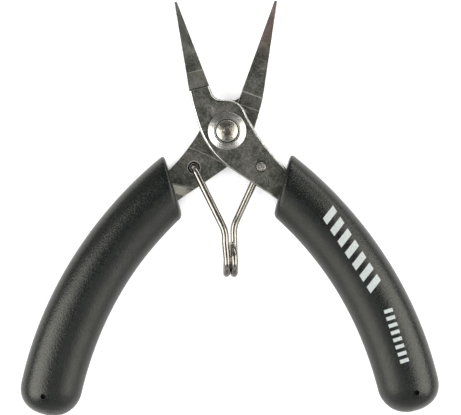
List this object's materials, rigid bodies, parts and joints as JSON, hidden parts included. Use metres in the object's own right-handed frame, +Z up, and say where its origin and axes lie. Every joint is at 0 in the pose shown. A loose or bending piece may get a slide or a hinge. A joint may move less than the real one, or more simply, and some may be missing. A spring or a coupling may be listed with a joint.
{
  "type": "flat nose pliers",
  "caption": "Small lap-joint flat nose pliers with tapered jaws, curved moulded grips and a wire return spring, for bending wire and sheet.",
  "frame": {"origin": "middle of the open tool's plan, on the surface that it lies on", "axes": "+Z up along the pivot, +Y from the handles to the jaw tips along the centre line, +X to the right handle"},
  "size_m": [0.107, 0.1066, 0.012],
  "materials": {
    "steel": "tumbled satin, with bright rounded edges",
    "grip": "fine sandy grain",
    "rivet": "satin, dimpled centre",
    "collar": "turned, bright",
    "spring": "bright drawn wire"
  },
  "bodies": {
    "front_half": {"front_lever": "steel", "right_grip": "grip", "pivot_rivet": "rivet", "front_collar": "collar", "rear_collar": "collar"},
    "rear_half": {"rear_lever": "steel", "left_grip": "grip"},
    "spring_right_arm": {"spring_right_arm": "spring"},
    "spring_coil": {"spring_coil": "spring"},
    "spring_left_arm": {"spring_left_arm": "spring"}
  },
  "joints": [
    {"name": "pivot", "type": "hinge", "parent": "front_half", "child": "rear_half", "pos_m": [0, 0.01973, 0.006], "axis": [0, 0, 1], "range_deg": [0, 41], "stiffness_Nm_per_rad": 0.2},
    {"name": "right_hook", "type": "hinge", "parent": "front_half", "child": "spring_right_arm", "pos_m": [0.00867, 0.01053, 0.006], "axis": [0, 0, 1], "range_deg": [0, 32.18]},
    {"name": "right_flex", "type": "hinge", "parent": "spring_right_arm", "child": "spring_coil", "pos_m": [0.0015, -0.00887, 0.00256], "axis": [0, 0, 1], "range_deg": [-11.68, 0]},
    {"name": "left_flex", "type": "hinge", "parent": "spring_coil", "child": "spring_left_arm", "pos_m": [-0.0006, -0.00887, 0.00944], "axis": [0, 0, 1], "range_deg": [-9.69, 0]}
  ],
  "couplings": [
    {"joint": "right_hook", "follows": "pivot", "ratio": 0.7836},
    {"joint": "right_flex", "follows": "pivot", "ratio": -0.2836},
    {"joint": "left_flex", "follows": "pivot", "ratio": -0.2351}
  ]
}
